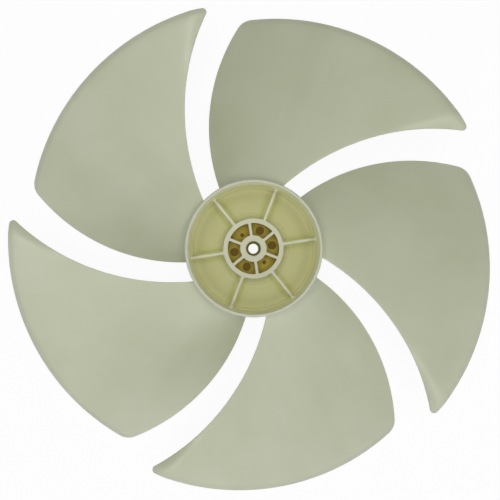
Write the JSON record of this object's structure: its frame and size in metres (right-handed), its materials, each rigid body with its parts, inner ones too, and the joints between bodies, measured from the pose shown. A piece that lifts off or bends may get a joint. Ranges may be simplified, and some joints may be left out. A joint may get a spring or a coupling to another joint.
{
  "type": "axial fan impeller",
  "caption": "Moulded plastic axial fan impeller: broad forward-swept blades round a deep cup-shaped hub, with a ribbed boss inside for the motor shaft.",
  "frame": {"origin": "on the axis of rotation, at the shoulder inside the boss that the end of the motor shaft seats on", "axes": "+Z along the axis of rotation, out of the open side of the hub cup towards the motor; X and Y are square to it, and one blade's swept leading edge reaches the tip circle near +Y"},
  "size_m": [0.4, 0.4, 0.108],
  "materials": {
    "plastic": "pale greenish cream moulded plastic with a faint sheen"
  },
  "bodies": {
    "root": {"impeller": "plastic"}
  },
  "joints": []
}
